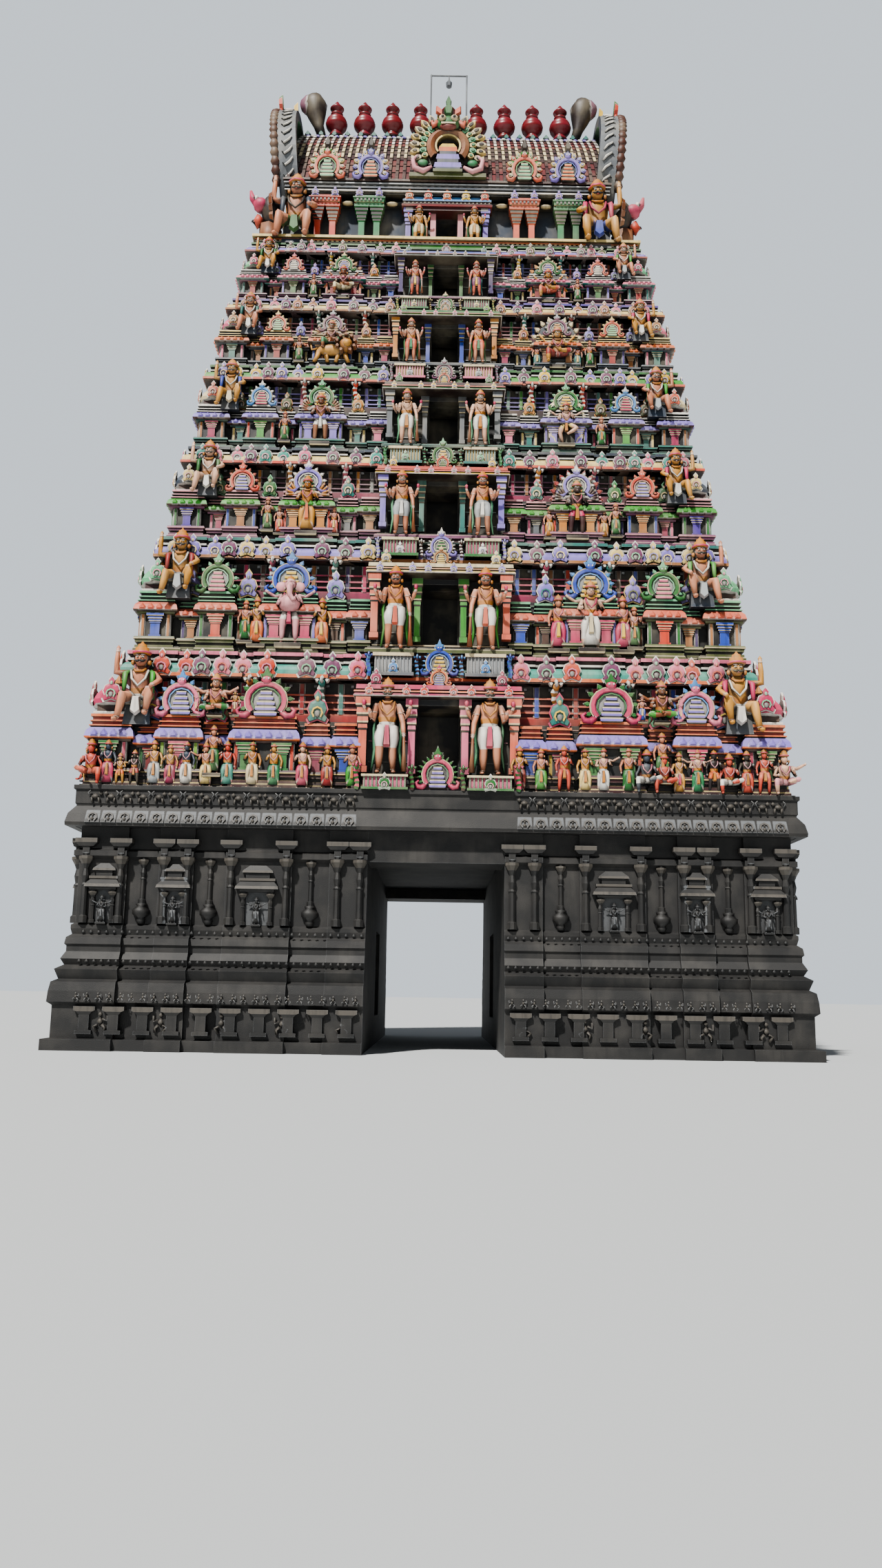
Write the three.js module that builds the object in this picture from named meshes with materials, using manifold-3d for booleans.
// A seven-tiered temple gateway tower: a granite ground storey with a passage through it,
// six painted brick storeys that step back, a neck and a barrel roof with gabled ends.
// Millimetres, +Z up, front towards -Y, origin on the ground at the middle of the plan.
import * as THREE from 'three';
import { mergeVertices } from 'three/addons/utils/BufferGeometryUtils.js';
import Module from 'manifold-3d';

const wasm = await Module();
wasm.setup();

// Driving dimensions of the plan, at the plane of the granite wall
const HALF_WIDTH = 9800;
const HALF_DEPTH = 7000;
const GAP = 0.3;
const PASSAGE_HALF_WIDTH = 1900;
const PASSAGE_HEIGHT = 5200;

// Heights of the granite storey
const STONE_EAVE_Z = 6050;
const STONE_TOP_Z = 7200;
const LINTEL_DEPTH = 1600;
const CEILING_THICKNESS = 500;

// Bays of the granite wall stand out from the recesses between them: near and far edge, mirrored
const STONE_RECESS = 150;
const STONE_FRONT_BAYS = [
  [0, 2950],
  [3980, 5800],
  [6700, 7650],
];
const STONE_SIDE_BAYS = [
  [0, 1100],
  [2750, 3900],
];
const STONE_CORNER_X = 8540;
const STONE_CORNER_Y = 5420;

// Guard rooms beside the passage
const ROOM_FLOOR_Z = 900;
const ROOM_TOP_Z = 4900;
const ROOM_FAR_X = 7400;
const ROOM_NEAR_X = 3500;
const ROOM_HALF_DEPTH = 4300;
const ROOM_DOOR_HALF_WIDTH = 1200;
const ROOM_DOOR_TOP_Z = 3600;

// Painted storeys: height of each, and how far its shrine row stands inside the granite wall
const STOREYS = [
  { height: 4190, setback: 0 },
  { height: 3790, setback: 900 },
  { height: 3200, setback: 1530 },
  { height: 3050, setback: 2050 },
  { height: 2680, setback: 2500 },
  { height: 2380, setback: 3000 },
];
const NECK_SETBACK = 3450;
const BRICK_WALL = 700;

// Levels inside a storey, as shares of its height
const PLINTH_TOP = 0.125;
const SMALL_EAVE = 0.33;
const SMALL_EAVE_TOP = 0.43;
const ROW_TOP = 0.5;
const PORCH_EAVE = 0.64;
const PORCH_TOP = 0.73;
const MAIN_EAVE = 0.8;

// How far pieces of the shrine row stand out
const BAY_RELIEF = 240;
const SMALL_EAVE_REACH = 160;
const PORCH_PROJECTION = 350;

// Bays of the row: centre and half width as shares of the storey's half width or half depth
const FRONT_BAYS = [
  { centre: 0.943, half: 0.047, kind: 'dome' },
  { centre: 0.745, half: 0.056, kind: 'shrine' },
  { centre: 0.5, half: 0.085, kind: 'deity' },
];
const SIDE_BAYS = [
  { centre: 0.56, half: 0.09, kind: 'shrine' },
  { centre: 0, half: 0.14, kind: 'deity' },
];
const PORCH_HALF = 0.24;
const DOOR_HALF = 0.06;
const DOOR_TOP = 0.6;
const GUARDIAN_X = 0.155;

// Neck and roof
const PLATFORM_THICKNESS = 340;
const NECK_HALF_WIDTH = 5300;
const NECK_HALF_DEPTH = 2850;
const NECK_WALL = 500;
const NECK_TOP_Z = 28700;
const NECK_DOOR_HALF = 360;
const NECK_DOOR_TOP_Z = 28350;
const NECK_PORCH_HALF_WIDTH = 1450;
const NECK_PORCH_REACH = 420;
const CORNER_FIGURE_X = 5300;
const CORNER_FIGURE_Y = 3680;
const ROOF_HALF_LENGTH = 5550;
const ROOF_EAVE_HALF_DEPTH = 3300;
const ROOF_EAVE_THICKNESS = 600;
const RIDGE_Z = 33600;
const ROOF_SHELL = 380;
const RIDGE_HALF_WIDTH = 240;
const KEEL_BEND_Y = 0.65;
const KEEL_BEND_Z = 0.52;
const CURVE_STEPS = 8;
const GABLE_RADIUS = 3450;
const GABLE_CENTRE_Z = 30600;
const GABLE_FOOT_Z = 28500;
const GABLE_TOP_Z = 35600;
const GABLE_RIM_DEPTH = 650;
const GABLE_RIM_WIDTH = 500;
const GABLE_WALL = 300;
const CENTRE_GABLE_HALF = 1330;
const CENTRE_GABLE_TOP_Z = 32500;
const EAVE_GABLE_X = [2650, 4150];
const EAVE_GABLE_HALF = 540;
const EAVE_GABLE_FOOT_Z = 29000;
const EAVE_GABLE_TOP_Z = 30500;

// Finials and the lamp frame on the ridge
const FINIAL_COUNT = 9;
const FINIAL_SPACING = 1065;
const FINIAL_HEIGHT = 1600;
const FINIAL_RADIUS = 400;
const FRAME_TOP_Z = 36900;
const FRAME_HALF_WIDTH = 690;
const FRAME_OFFSET_Y = 520;
const PIPE_RADIUS = 35;

const COLOURS = {
  granite: 0x4a4642,
  plaster: ['#c98aa0', '#b9843c', '#c8a24a', '#9fb0cf', '#d9a742', '#e0c3b0'],
  neck: 0x59667a,
  roof: 0xc65a4a,
  gable: 0xa9b9c6,
  figure: 0xc9a15a,
  finial: 0x9c1c2c,
  pipe: 0x8d9296,
};

const tower = new THREE.Group();

function finish(colour, roughness = 0.85, metalness = 0) {
  return new THREE.MeshStandardMaterial({ color: colour, roughness, metalness });
}

// A three.js geometry as a closed solid, with its shared corners merged
function solid(geometry) {
  const bare = geometry.clone();
  bare.deleteAttribute('normal');
  bare.deleteAttribute('uv');
  const merged = mergeVertices(bare, 1e-3);
  const vertProperties = new Float32Array(merged.attributes.position.array);
  const triVerts = new Uint32Array(merged.index.array);
  return new wasm.Manifold(new wasm.Mesh({ numProp: 3, vertProperties, triVerts }));
}

function addNode(name, manifold, material) {
  const mesh = manifold.getMesh();
  const geometry = new THREE.BufferGeometry();
  const places = new Float32Array(mesh.vertProperties);
  geometry.setAttribute('position', new THREE.BufferAttribute(places, 3));
  geometry.setIndex(new THREE.BufferAttribute(new Uint32Array(mesh.triVerts), 1));
  geometry.computeVertexNormals();
  const node = new THREE.Mesh(geometry, material);
  node.name = name;
  tower.add(node);
}

function box(x0, x1, y0, y1, z0, z1) {
  const geometry = new THREE.BoxGeometry(x1 - x0, y1 - y0, z1 - z0);
  geometry.translate((x0 + x1) / 2, (y0 + y1) / 2, (z0 + z1) / 2);
  return solid(geometry);
}

function centredBox(halfX, halfY, z0, z1) {
  return box(-halfX, halfX, -halfY, halfY, z0, z1);
}

function outline(points) {
  return new THREE.Shape(points.map(([u, v]) => new THREE.Vector2(u, v)));
}

// An outline of (y, z) points carried along X
function alongX(shape, x0, x1) {
  const settings = { depth: x1 - x0, bevelEnabled: false, curveSegments: CURVE_STEPS };
  const geometry = new THREE.ExtrudeGeometry(shape, settings);
  const turn = new THREE.Matrix4().makeBasis(
    new THREE.Vector3(0, 1, 0),
    new THREE.Vector3(0, 0, 1),
    new THREE.Vector3(1, 0, 0),
  );
  geometry.applyMatrix4(turn);
  geometry.translate(x0, 0, 0);
  return solid(geometry);
}

// An outline of (x, z) points carried along Y
function alongY(shape, y0, y1) {
  const settings = { depth: y1 - y0, bevelEnabled: false, curveSegments: CURVE_STEPS };
  const geometry = new THREE.ExtrudeGeometry(shape, settings);
  geometry.rotateX(Math.PI / 2);
  geometry.translate(0, y1, 0);
  return solid(geometry);
}

// A block with mouldings all round and mitred corners: the part that is common to its profile
// carried along X and the same profile carried along Y. Levels are [height, projection] pairs.
function mouldedBlock(levels, halfX, halfY, centreX = 0, centreY = 0) {
  const reach = Math.max(...levels.map(([, out]) => out)) + 10;
  const profile = (half) => {
    const right = levels.map(([z, out]) => [half + out, z]);
    const left = levels.map(([z, out]) => [-half - out, z]).reverse();
    return outline([...right, ...left]);
  };
  const lengthwise = alongX(profile(halfY), -halfX - reach, halfX + reach);
  const crosswise = alongY(profile(halfX), -halfY - reach, halfY + reach);
  return lengthwise.intersect(crosswise).translate([centreX, centreY, 0]);
}

// A turned piece on a vertical axis, from [radius, height] points, flattened front to back
function turned(points, sides, flatten = 1) {
  const profile = points.map(([radius, height]) => new THREE.Vector2(radius, height));
  const geometry = new THREE.LatheGeometry(profile, sides);
  geometry.rotateX(Math.PI / 2);
  geometry.rotateZ(Math.PI / sides);
  geometry.scale(1, flatten, 1);
  return solid(geometry);
}

// The horseshoe outline of a gable, wide at the shoulders, with a crest on top
function horseshoe(half, bottom, top) {
  const rise = top - bottom;
  const right = [
    [half * 0.72, bottom],
    [half, bottom + rise * 0.3],
    [half * 0.85, bottom + rise * 0.55],
    [half * 0.34, bottom + rise * 0.82],
  ];
  const left = right.map(([u, v]) => [-u, v]).reverse();
  return outline([...right, [0, top], ...left]);
}

// A standing guardian as a plain turned body with a head and a tall crown
function standingFigure(x, y, z, height) {
  const girth = height * 0.15;
  const points = [
    [0, 0],
    [girth * 0.8, 0],
    [girth * 1.1, height * 0.7],
    [girth * 0.45, height * 0.82],
    [0, height],
  ];
  return turned(points, 5).translate([x, y, z]);
}

function mirrorX(part) {
  return part.add(part.mirror([1, 0, 0]));
}

function mirrorY(part) {
  return part.add(part.mirror([0, 1, 0]));
}

// Upright slabs over the right half of the plan, inside which the granite wall has its bays
function stoneBays() {
  const far = HALF_WIDTH * 2;
  const front = STONE_FRONT_BAYS.map(([x0, x1]) => box(x0, x1, -far, far, -1, STONE_TOP_Z));
  const side = STONE_SIDE_BAYS.map(([y0, y1]) => mirrorY(box(0, far, y0, y1, -1, STONE_TOP_Z)));
  const corner = mirrorY(box(STONE_CORNER_X, far, STONE_CORNER_Y, far, -1, STONE_TOP_Z));
  return [...front, ...side, corner].reduce((sum, slab) => sum.add(slab));
}

// Granite ground storey: base mouldings, pilaster wall, and the passage cut through
function addGroundStorey() {
  const stone = finish(COLOURS.granite, 0.8);
  const mouldings = [
    [0, 620],
    [300, 620],
    [330, 420],
    [1180, 420],
    [1270, 540],
    [1560, 520],
    [1800, 480],
    [1880, 330],
    [2140, 430],
    [2260, 230],
    [2420, 320],
    [2620, 210],
    [2770, 210],
    [2820, 260],
    [3000, 230],
    [3090, 110],
    [3240, 150],
    [3340, 150],
    [3400, 60],
    [5150, 60],
    [5240, 190],
    [5380, 190],
    [5460, 60],
    [STONE_EAVE_Z - GAP, 60],
  ];
  const passage = centredBox(PASSAGE_HALF_WIDTH, HALF_DEPTH * 2, -100, STONE_TOP_Z);
  const room = box(ROOM_NEAR_X, ROOM_FAR_X, -ROOM_HALF_DEPTH, ROOM_HALF_DEPTH, ROOM_FLOOR_Z, ROOM_TOP_Z);
  const doorHalf = ROOM_DOOR_HALF_WIDTH;
  const roomDoor = box(0, ROOM_NEAR_X + 100, -doorHalf, doorHalf, ROOM_FLOOR_Z, ROOM_DOOR_TOP_Z);
  const recessed = mouldings.map(([z, out]) => [z, out - STONE_RECESS]);
  const bays = mouldedBlock(mouldings, HALF_WIDTH, HALF_DEPTH).intersect(stoneBays());
  const mass = mouldedBlock(recessed, HALF_WIDTH, HALF_DEPTH).add(bays).subtract(passage);
  const rightSide = box(0, HALF_WIDTH * 2, -HALF_DEPTH * 2, HALF_DEPTH * 2, -100, STONE_TOP_Z);
  const right = mass.intersect(rightSide).subtract(room).subtract(roomDoor);
  addNode('stone_base_right', right, stone);
  addNode('stone_base_left', right.mirror([1, 0, 0]), stone);

  const inner = PASSAGE_HALF_WIDTH - GAP;
  const lintelTop = STONE_EAVE_Z - GAP;
  const back = -HALF_DEPTH + LINTEL_DEPTH;
  const face = -HALF_DEPTH - 60;
  const lintel = box(-inner, inner, face, back, PASSAGE_HEIGHT, lintelTop);
  addNode('gate_lintel_front', lintel, stone);
  addNode('gate_lintel_back', lintel.mirror([0, 1, 0]), stone);
  const ceilingHalf = HALF_DEPTH - LINTEL_DEPTH - GAP;
  const ceiling = centredBox(inner, ceilingHalf, lintelTop - CEILING_THICKNESS, lintelTop);
  addNode('passage_ceiling', ceiling, stone);

  const rolledEave = [
    [STONE_EAVE_Z, 420],
    [STONE_EAVE_Z + 80, 430],
    [STONE_EAVE_Z + 330, 370],
    [STONE_EAVE_Z + 540, 210],
    [STONE_EAVE_Z + 600, 210],
    [STONE_EAVE_Z + 640, 240],
    [STONE_EAVE_Z + 1000, 240],
    [STONE_EAVE_Z + 1040, 290],
    [STONE_TOP_Z, 290],
  ];
  addNode('stone_cornice', mouldedBlock(rolledEave, HALF_WIDTH, HALF_DEPTH), stone);
}

function cornerDome(half, bottom, top) {
  const rise = top - bottom;
  const points = [
    [0, bottom],
    [half * 0.95, bottom],
    [half * 1.1, bottom + rise * 0.45],
    [half * 0.5, bottom + rise * 0.8],
    [0, top],
  ];
  return turned(points, 8);
}

// The parapet of little shrines around a storey, with the two door porches
function shrineRow(floor, height, halfX, halfY, wallX, wallY) {
  const z = (share) => floor + height * share;
  const recess = [
    [floor, 0],
    [z(SMALL_EAVE), 0],
    [z(SMALL_EAVE), SMALL_EAVE_REACH],
    [z(SMALL_EAVE_TOP), 0],
    [z(ROW_TOP), 0],
  ];
  let row = mouldedBlock(recess, halfX - BAY_RELIEF, halfY - BAY_RELIEF);

  for (const bay of FRONT_BAYS) {
    const half = bay.half * halfX;
    const centreX = bay.kind === 'dome' ? halfX - half : bay.centre * halfX;
    let body = box(centreX - half, centreX + half, -halfY, -wallY, z(0), z(ROW_TOP));
    if (bay.kind === 'dome') {
      const dome = cornerDome(half, z(ROW_TOP) - 10, z(MAIN_EAVE - 0.06));
      body = body.add(dome.translate([centreX, -halfY + half, 0]));
    } else {
      const shape = horseshoe(half * 1.1, z(ROW_TOP) - 10, z(MAIN_EAVE - 0.04));
      const gable = alongY(shape, -halfY - 40, -wallY);
      body = body.add(gable.translate([centreX, 0, 0]));
    }
    row = row.add(mirrorY(mirrorX(body)));
  }
  const turn = [0, 0, 90];
  for (const bay of SIDE_BAYS) {
    const half = bay.half * halfY;
    const centreY = bay.centre * halfY;
    const bodyBox = box(-half, half, -halfX, -wallX, z(0), z(ROW_TOP));
    const shape = horseshoe(half * 1.1, z(ROW_TOP) - 10, z(MAIN_EAVE - 0.04));
    const gable = alongY(shape, -halfX - 40, -wallX);
    const body = bodyBox.add(gable).rotate(turn).translate([0, centreY, 0]);
    row = row.add(bay.centre > 0 ? mirrorY(mirrorX(body)) : mirrorX(body));
  }

  row = row.add(mirrorY(doorPorch(floor, height, halfX, halfY, wallY)));

  const chamber = centredBox(wallX + GAP, wallY + GAP, floor - 10, floor + height);
  const doorHalf = DOOR_HALF * halfX;
  const doors = centredBox(doorHalf, halfY * 2, z(PLINTH_TOP), z(DOOR_TOP));
  return row.subtract(chamber).subtract(doors);
}

// The centre bay at a door: plinth, guardians on both sides and an eave of its own
function doorPorch(floor, height, halfX, halfY, wallY) {
  const z = (share) => floor + height * share;
  const half = PORCH_HALF * halfX;
  const front = -halfY - PORCH_PROJECTION;
  const profile = outline([
    [front, z(0)],
    [-wallY, z(0)],
    [-wallY, z(PORCH_TOP)],
    [front, z(PORCH_TOP)],
    [front - SMALL_EAVE_REACH, z(PORCH_EAVE)],
    [-halfY, z(PORCH_EAVE)],
    [-halfY, z(PLINTH_TOP)],
    [front, z(PLINTH_TOP)],
  ]);
  const bay = alongX(profile, -half, half);
  const figureHeight = height * (PORCH_EAVE - PLINTH_TOP) * 0.98;
  const guardianY = -halfY - PORCH_PROJECTION * 0.4;
  const guardian = standingFigure(GUARDIAN_X * halfX, guardianY, z(PLINTH_TOP) - 10, figureHeight);
  return bay.add(mirrorX(guardian));
}

function addStoreys() {
  let floor = STONE_TOP_Z;
  STOREYS.forEach(({ height, setback }, index) => {
    const label = `storey_${index + 1}`;
    const paint = finish(COLOURS.plaster[index]);
    const above = index + 1 < STOREYS.length ? STOREYS[index + 1].setback : NECK_SETBACK;
    const halfX = HALF_WIDTH - setback;
    const halfY = HALF_DEPTH - setback;
    const wallX = HALF_WIDTH - above - 50;
    const wallY = HALF_DEPTH - above - 50;
    const z = (share) => floor + height * share;
    const wallTop = z(MAIN_EAVE) - GAP;

    const doorHalf = DOOR_HALF * halfX;
    const doors = centredBox(doorHalf, halfY * 2, z(PLINTH_TOP), z(DOOR_TOP));
    const room = centredBox(wallX - BRICK_WALL, wallY - BRICK_WALL, floor - 100, wallTop + 100);
    const walls = centredBox(wallX, wallY, floor + GAP, wallTop).subtract(room).subtract(doors);
    addNode(`${label}_walls`, walls, paint);

    addNode(`${label}_shrine_row`, shrineRow(floor + GAP, height, halfX, halfY, wallX, wallY), paint);

    const top = floor + height;
    const eave = [
      [z(MAIN_EAVE), 400],
      [z(MAIN_EAVE + 0.03), 400],
      [z(MAIN_EAVE + 0.08), 340],
      [z(MAIN_EAVE + 0.12), 230],
      [z(MAIN_EAVE + 0.14), 230],
      [z(MAIN_EAVE + 0.14), 280],
      [top, 280],
    ];
    addNode(`${label}_cornice`, mouldedBlock(eave, HALF_WIDTH - above, HALF_DEPTH - above), paint);
    floor = top;
  });
  return floor;
}

// The profile of the barrel roof: keel-shaped sides on an eave slab, with a narrow flat ridge
function barrelOutline(halfDepth, bottom, spring, ridge) {
  const bendY = halfDepth * KEEL_BEND_Y;
  const bendZ = spring + (ridge - spring) * KEEL_BEND_Z;
  const shape = new THREE.Shape();
  shape.moveTo(halfDepth, bottom);
  shape.lineTo(halfDepth, spring);
  shape.quadraticCurveTo(bendY, bendZ, RIDGE_HALF_WIDTH, ridge);
  shape.lineTo(-RIDGE_HALF_WIDTH, ridge);
  shape.quadraticCurveTo(-bendY, bendZ, -halfDepth, spring);
  shape.lineTo(-halfDepth, bottom);
  return shape;
}

function addTop(floor) {
  const neckPaint = finish(COLOURS.neck);
  const platformTop = floor + PLATFORM_THICKNESS;
  const platformEdge = [
    [floor + GAP, 160],
    [floor + 120, 230],
    [platformTop, 230],
  ];
  const platform = mouldedBlock(platformEdge, HALF_WIDTH - NECK_SETBACK, HALF_DEPTH - NECK_SETBACK);
  addNode('neck_platform', platform, neckPaint);

  const foot = platformTop + GAP;
  const head = NECK_TOP_Z - GAP;
  const hollowX = NECK_HALF_WIDTH - NECK_WALL;
  const hollowY = NECK_HALF_DEPTH - NECK_WALL;
  const doors = centredBox(NECK_DOOR_HALF, HALF_DEPTH, platformTop + 150, NECK_DOOR_TOP_Z);
  const neck = centredBox(NECK_HALF_WIDTH, NECK_HALF_DEPTH, foot, head)
    .subtract(centredBox(hollowX, hollowY, floor, RIDGE_Z))
    .subtract(doors);
  addNode('neck_walls', neck, neckPaint);

  const half = NECK_PORCH_HALF_WIDTH;
  const inner = NECK_DOOR_HALF + 40;
  const front = -NECK_HALF_DEPTH - NECK_PORCH_REACH;
  const back = -NECK_HALF_DEPTH - GAP;
  const jamb = 160;
  const pier = box(inner, half, front, back, foot, head);
  const niche = box(inner + jamb, half - jamb, front - 10, back - jamb, foot + jamb, NECK_DOOR_TOP_Z);
  const lintel = box(-half, half, front, back, NECK_DOOR_TOP_Z, head);
  const guardianHeight = 1250;
  const guardian = standingFigure((inner + half) / 2, front + jamb, foot + jamb - 10, guardianHeight)
    .subtract(centredBox(NECK_HALF_WIDTH, -back, 0, RIDGE_Z));
  const porch = mirrorX(pier.subtract(niche).add(guardian)).add(lintel);
  addNode('neck_porch_front', porch, neckPaint);
  addNode('neck_porch_back', porch.mirror([0, 1, 0]), neckPaint);

  addCornerFigures(foot);
  addRoof();
}

// The seated carriers at the four corners of the neck: legs, trunk, raised arm, head and crown
function addCornerFigures(foot) {
  const paint = finish(COLOURS.figure);
  const legs = box(-600, 600, -220, 220, 0, 760);
  const hollow = box(-280, 280, -300, 300, -10, 560);
  const trunk = turned([[0, 700], [320, 700], [280, 1100], [440, 1700], [150, 1900], [0, 1900]], 8, 0.5);
  const head = turned([[0, 1850], [230, 1900], [260, 2250], [180, 2450], [60, 2850], [0, 2850]], 8, 0.8);
  const arm = box(360, 690, -110, 110, 1380, 1640).add(box(540, 700, -110, 110, 1380, 2480));
  const backRight = legs.subtract(hollow).add(trunk).add(head).add(arm)
    .translate([CORNER_FIGURE_X, CORNER_FIGURE_Y, foot]);
  const frontRight = backRight.mirror([0, 1, 0]);
  addNode('corner_figure_back_right', backRight, paint);
  addNode('corner_figure_front_right', frontRight, paint);
  addNode('corner_figure_back_left', backRight.mirror([1, 0, 0]), paint);
  addNode('corner_figure_front_left', frontRight.mirror([1, 0, 0]), paint);
}

// The rim of an end gable in (y, z): a round arch on flared feet, with a crest at the crown
function gableOutline(radius, footHalf, footZ, crestHalf, topZ) {
  const steps = 7;
  const low = -0.5;
  const high = Math.acos(crestHalf / radius);
  const right = [[footHalf, footZ]];
  for (let k = 0; k <= steps; k += 1) {
    const angle = low + ((high - low) * k) / steps;
    right.push([radius * Math.cos(angle), GABLE_CENTRE_Z + radius * Math.sin(angle)]);
  }
  const left = right.map(([u, v]) => [-u, v]).reverse();
  const crest = topZ === null ? [] : [[crestHalf * 0.8, topZ], [-crestHalf * 0.8, topZ]];
  return outline([...right, ...crest, ...left]);
}

function addRoof() {
  const tiles = finish(COLOURS.roof, 0.7);
  const gablePaint = finish(COLOURS.gable);
  const spring = NECK_TOP_Z + ROOF_EAVE_THICKNESS;
  const outer = barrelOutline(ROOF_EAVE_HALF_DEPTH, NECK_TOP_Z, spring, RIDGE_Z);
  const full = alongX(outer, -ROOF_HALF_LENGTH, ROOF_HALF_LENGTH);
  const insideHalf = NECK_HALF_DEPTH - NECK_WALL;
  const insideTop = RIDGE_Z - ROOF_SHELL;
  const inside = outline([
    [insideHalf, NECK_TOP_Z - 100],
    [insideHalf, spring],
    [RIDGE_HALF_WIDTH, insideTop],
    [-RIDGE_HALF_WIDTH, insideTop],
    [-insideHalf, spring],
    [-insideHalf, NECK_TOP_Z - 100],
  ]);
  const hollow = alongX(inside, -ROOF_HALF_LENGTH - 100, ROOF_HALF_LENGTH + 100);

  const crests = EAVE_GABLE_X.map((x) => {
    const shape = horseshoe(EAVE_GABLE_HALF, EAVE_GABLE_FOOT_Z, EAVE_GABLE_TOP_Z);
    return alongY(shape, -ROOF_EAVE_HALF_DEPTH - 160, -NECK_HALF_DEPTH).translate([x, 0, 0]);
  });
  const crestSet = crests.reduce((sum, crest) => sum.add(crest));
  const roof = full.add(mirrorY(mirrorX(crestSet))).subtract(hollow);
  addNode('barrel_roof', roof, tiles);

  const dormer = horseshoe(CENTRE_GABLE_HALF, spring, CENTRE_GABLE_TOP_Z);
  const clearance = barrelOutline(ROOF_EAVE_HALF_DEPTH + GAP, NECK_TOP_Z - 1, spring, RIDGE_Z + GAP);
  const roofRoom = alongX(clearance, -ROOF_HALF_LENGTH, ROOF_HALF_LENGTH);
  const centreGable = alongY(dormer, -ROOF_EAVE_HALF_DEPTH - 260, -1800).subtract(roofRoom);
  addNode('centre_gable_front', centreGable, gablePaint);
  addNode('centre_gable_back', centreGable.mirror([0, 1, 0]), gablePaint);

  const start = ROOF_HALF_LENGTH + GAP;
  const footHalf = GABLE_RADIUS - 50;
  const arch = gableOutline(GABLE_RADIUS, footHalf, GABLE_FOOT_Z, 600, GABLE_TOP_Z);
  const innerRadius = GABLE_RADIUS - GABLE_RIM_WIDTH;
  const recess = gableOutline(innerRadius, innerRadius * 0.88, GABLE_FOOT_Z + GABLE_RIM_WIDTH, 600, null);
  const gable = alongX(arch, start, start + GABLE_RIM_DEPTH)
    .subtract(alongX(recess, start + GABLE_WALL, start + GABLE_RIM_DEPTH + 10));
  addNode('gable_right', gable, gablePaint);
  addNode('gable_left', gable.mirror([1, 0, 0]), gablePaint);

  addFinials();
  addLampFrame(outer);
}

function addFinials() {
  const paint = finish(COLOURS.finial, 0.5);
  const r = FINIAL_RADIUS;
  const h = FINIAL_HEIGHT;
  const points = [
    [0, 0],
    [r * 0.6, 0],
    [r * 0.6, h * 0.1],
    [r * 1.05, h * 0.34],
    [r * 0.35, h * 0.6],
    [r * 0.65, h * 0.76],
    [0, h],
  ];
  const pot = turned(points, 8);
  for (let k = 0; k < FINIAL_COUNT; k += 1) {
    const x = (k - (FINIAL_COUNT - 1) / 2) * FINIAL_SPACING;
    addNode(`finial_${k + 1}`, pot.translate([x, 0, RIDGE_Z + GAP]), paint);
  }
}

// A pipe goalpost that stands on the back slope of the ridge, with a lamp under its crossbar
function addLampFrame(roofOutline) {
  const pipe = (length) => turned([[0, 0], [PIPE_RADIUS, 0], [PIPE_RADIUS, length], [0, length]], 8);
  const footZ = RIDGE_Z - 900;
  const post = pipe(FRAME_TOP_Z - footZ).translate([FRAME_HALF_WIDTH, FRAME_OFFSET_Y, footZ]);
  const barLength = FRAME_HALF_WIDTH * 2 + PIPE_RADIUS * 2;
  const bar = pipe(barLength)
    .rotate([0, 90, 0])
    .translate([-barLength / 2, FRAME_OFFSET_Y, FRAME_TOP_Z - PIPE_RADIUS]);
  const lampTop = FRAME_TOP_Z - PIPE_RADIUS;
  const lamp = turned([[0, -520], [110, -480], [130, -330], [40, -200], [20, 0], [0, 0]], 8)
    .translate([0, FRAME_OFFSET_Y, lampTop]);
  const clear = alongX(roofOutline, -ROOF_HALF_LENGTH, ROOF_HALF_LENGTH).translate([0, 0, GAP]);
  const frame = mirrorX(post).add(bar).add(lamp).subtract(clear);
  addNode('lamp_frame', frame, finish(COLOURS.pipe, 0.5, 0.4));
}

addGroundStorey();
const storeysTop = addStoreys();
addTop(storeysTop);

export default tower;
